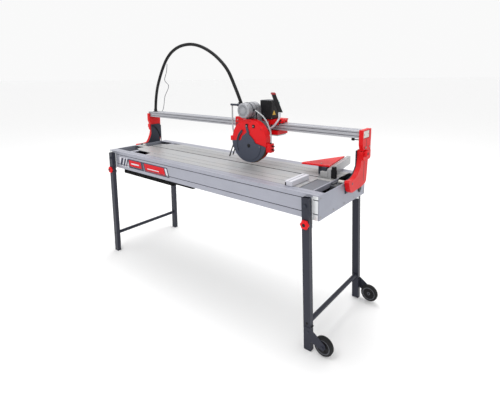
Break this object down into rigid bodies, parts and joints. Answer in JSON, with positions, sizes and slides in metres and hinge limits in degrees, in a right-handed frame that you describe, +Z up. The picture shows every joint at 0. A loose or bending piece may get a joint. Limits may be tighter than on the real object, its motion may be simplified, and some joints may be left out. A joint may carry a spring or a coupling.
{
  "type": "wet tile saw",
  "caption": "Wet tile saw: table with water tray, folding wheeled legs, tilting bridge with a long rail, and a sliding belt-driven blade head with guard and hose.",
  "frame": {"origin": "bottom centre of the bounding box of the saw, without its conduit, stay and water tubes, on the floor", "axes": "+X along the rail towards the wheels, +Y away from the user, +Z up"},
  "size_m": [2.004, 0.7486, 1.6214],
  "materials": {
    "alu_profile": "satin anodised",
    "alu_table": "brushed",
    "end_sheet": "satin",
    "red_cast": "satin",
    "red_plastic": "semi gloss",
    "slate_steel": "satin powder coat",
    "grey_plastic": "matte",
    "black_plastic": "matte",
    "black_rubber": "matte",
    "steel": "brushed",
    "zinc_steel": "satin",
    "motor_cast": "cast, silver finish",
    "white_bar": "satin white",
    "clear_tube": "translucent"
  },
  "bodies": {
    "frame": {"front_profile": "alu_profile", "rear_profile": "alu_profile", "end_panel_left": "end_sheet", "end_panel_right": "end_sheet", "table_front": "alu_table", "table_rear": "alu_table", "table_bearer_left": "alu_profile", "table_bearer_right": "alu_profile", "end_bridge": "alu_table", "water_tray": "black_plastic", "tilt_plate_left": "slate_steel", "tilt_plate_right": "slate_steel", "leg_bracket_front_left": "slate_steel", "leg_bracket_front_right": "slate_steel", "leg_bracket_rear_left": "slate_steel", "leg_bracket_rear_right": "slate_steel"},
    "stand_left": {"leg_front_left": "slate_steel", "leg_rear_left": "slate_steel", "crossbar_left": "slate_steel"},
    "stand_right": {"leg_front_right": "slate_steel", "leg_rear_right": "slate_steel", "crossbar_right": "slate_steel"},
    "bridge": {"rail": "alu_profile", "pylon_left": "red_cast", "pylon_right": "red_cast", "end_bumper": "black_rubber", "conduit": "black_rubber", "conduit_stay": "zinc_steel"},
    "carriage": {"carriage": "red_cast", "switch_box": "black_plastic"},
    "roller_a": {"roller_1": "steel"},
    "roller_b": {"roller_2": "steel"},
    "carriage_lock": {"carriage_knob": "red_plastic"},
    "head": {"head_arm": "alu_profile", "motor": "motor_cast", "drive_belt": "black_rubber", "guard": "red_plastic", "guard_cover": "grey_plastic", "splash_flap": "black_rubber", "water_valve": "slate_steel", "water_tube_left": "clear_tube", "water_tube_right": "clear_tube", "handle_bar": "zinc_steel", "grip": "black_rubber"},
    "motor_rotor": {"motor_pulley": "steel"},
    "spindle": {"arbor": "steel", "blade": "steel", "blade_nut": "steel"},
    "tilt_lock_left": {"tilt_knob_left": "red_plastic"},
    "tilt_lock_right": {"tilt_knob_right": "red_plastic"},
    "end_stop": {"end_stop": "white_bar"},
    "fence": {"fence": "alu_table", "protractor": "red_plastic", "fence_clamp": "black_plastic"},
    "wheel_front": {"wheel_front": "black_rubber"},
    "wheel_rear": {"wheel_rear": "black_rubber"},
    "leg_lock_front_left": {"leg_knob_front_left": "red_plastic"},
    "leg_lock_front_right": {"leg_knob_front_right": "red_plastic"},
    "leg_lock_rear_left": {"leg_knob_rear_left": "red_plastic"},
    "leg_lock_rear_right": {"leg_knob_rear_right": "red_plastic"}
  },
  "joints": [
    {"name": "bridge_tilt", "type": "hinge", "parent": "frame", "child": "bridge", "pos_m": [-0.02, -0.02634, 0.806], "axis": [-1, 0, 0], "range_deg": [0, 38]},
    {"name": "carriage_slide", "type": "slide", "parent": "bridge", "child": "carriage", "axis": [1, 0, 0], "range_m": [-0.944, 0.436], "deforming": ["conduit"]},
    {"name": "roller_1_spin", "type": "hinge", "parent": "carriage", "child": "roller_a", "pos_m": [0.075, 0.11166, 1.0838], "axis": [0, 1, 0], "continuous": true},
    {"name": "roller_2_spin", "type": "hinge", "parent": "carriage", "child": "roller_b", "pos_m": [0.365, 0.11166, 1.0838], "axis": [0, 1, 0], "continuous": true},
    {"name": "carriage_lock_turn", "type": "hinge", "parent": "carriage", "child": "carriage_lock", "pos_m": [0.414, 0.06266, 1.095], "axis": [0, 1, 0], "range_deg": [0, 270]},
    {"name": "head_height", "type": "slide", "parent": "carriage", "child": "head", "axis": [0, 0, -1], "range_m": [0, 0.017]},
    {"name": "blade_spin", "type": "hinge", "parent": "head", "child": "spindle", "pos_m": [0.243, -0.02634, 0.947], "axis": [0, 1, 0], "continuous": true},
    {"name": "motor_spin", "type": "hinge", "parent": "head", "child": "motor_rotor", "pos_m": [0.224, 0.01366, 1.16], "axis": [0, 1, 0], "continuous": true},
    {"name": "tilt_lock_left_turn", "type": "hinge", "parent": "bridge", "child": "tilt_lock_left", "pos_m": [-0.99, 0.09756, 0.95005], "axis": [1, 0, 0], "range_deg": [0, 270]},
    {"name": "tilt_lock_right_turn", "type": "hinge", "parent": "bridge", "child": "tilt_lock_right", "pos_m": [0.95, 0.09756, 0.95005], "axis": [1, 0, 0], "range_deg": [0, 270]},
    {"name": "left_legs_fold", "type": "hinge", "parent": "frame", "child": "stand_left", "pos_m": [-0.881, -0.05234, 0.757], "axis": [0, -1, 0], "range_deg": [0, 76]},
    {"name": "right_legs_fold", "type": "hinge", "parent": "frame", "child": "stand_right", "pos_m": [0.841, -0.05234, 0.757], "axis": [0, 1, 0], "range_deg": [0, 80]},
    {"name": "wheel_front_spin", "type": "hinge", "parent": "stand_right", "child": "wheel_front", "pos_m": [0.952, -0.34184, 0.056], "axis": [0, 1, 0], "continuous": true},
    {"name": "wheel_rear_spin", "type": "hinge", "parent": "stand_right", "child": "wheel_rear", "pos_m": [0.952, 0.23716, 0.056], "axis": [0, 1, 0], "continuous": true},
    {"name": "end_stop_slide", "type": "slide", "parent": "frame", "child": "end_stop", "axis": [1, 0, 0], "range_m": [-0.9, 0.1]},
    {"name": "fence_slide", "type": "slide", "parent": "frame", "child": "fence", "axis": [-1, 0, 0], "range_m": [0, 0.4]},
    {"name": "leg_lock_front_left_turn", "type": "hinge", "parent": "stand_left", "child": "leg_lock_front_left", "pos_m": [-0.88163, -0.36634, 0.666], "axis": [0, 1, 0], "range_deg": [0, 270]},
    {"name": "leg_lock_front_right_turn", "type": "hinge", "parent": "stand_right", "child": "leg_lock_front_right", "pos_m": [0.84418, -0.36634, 0.66605], "axis": [0, 1, 0], "range_deg": [0, 270]},
    {"name": "leg_lock_rear_left_turn", "type": "hinge", "parent": "stand_left", "child": "leg_lock_rear_left", "pos_m": [-0.88163, 0.26166, 0.666], "axis": [0, 1, 0], "range_deg": [0, 270]},
    {"name": "leg_lock_rear_right_turn", "type": "hinge", "parent": "stand_right", "child": "leg_lock_rear_right", "pos_m": [0.84418, 0.26166, 0.66605], "axis": [0, 1, 0], "range_deg": [0, 270]}
  ],
  "couplings": [
    {"joint": "roller_1_spin", "follows": "carriage_slide", "rad_per_m": 133.33},
    {"joint": "roller_2_spin", "follows": "carriage_slide", "rad_per_m": 133.33},
    {"joint": "motor_spin", "follows": "blade_spin", "ratio": 1.2143}
  ]
}
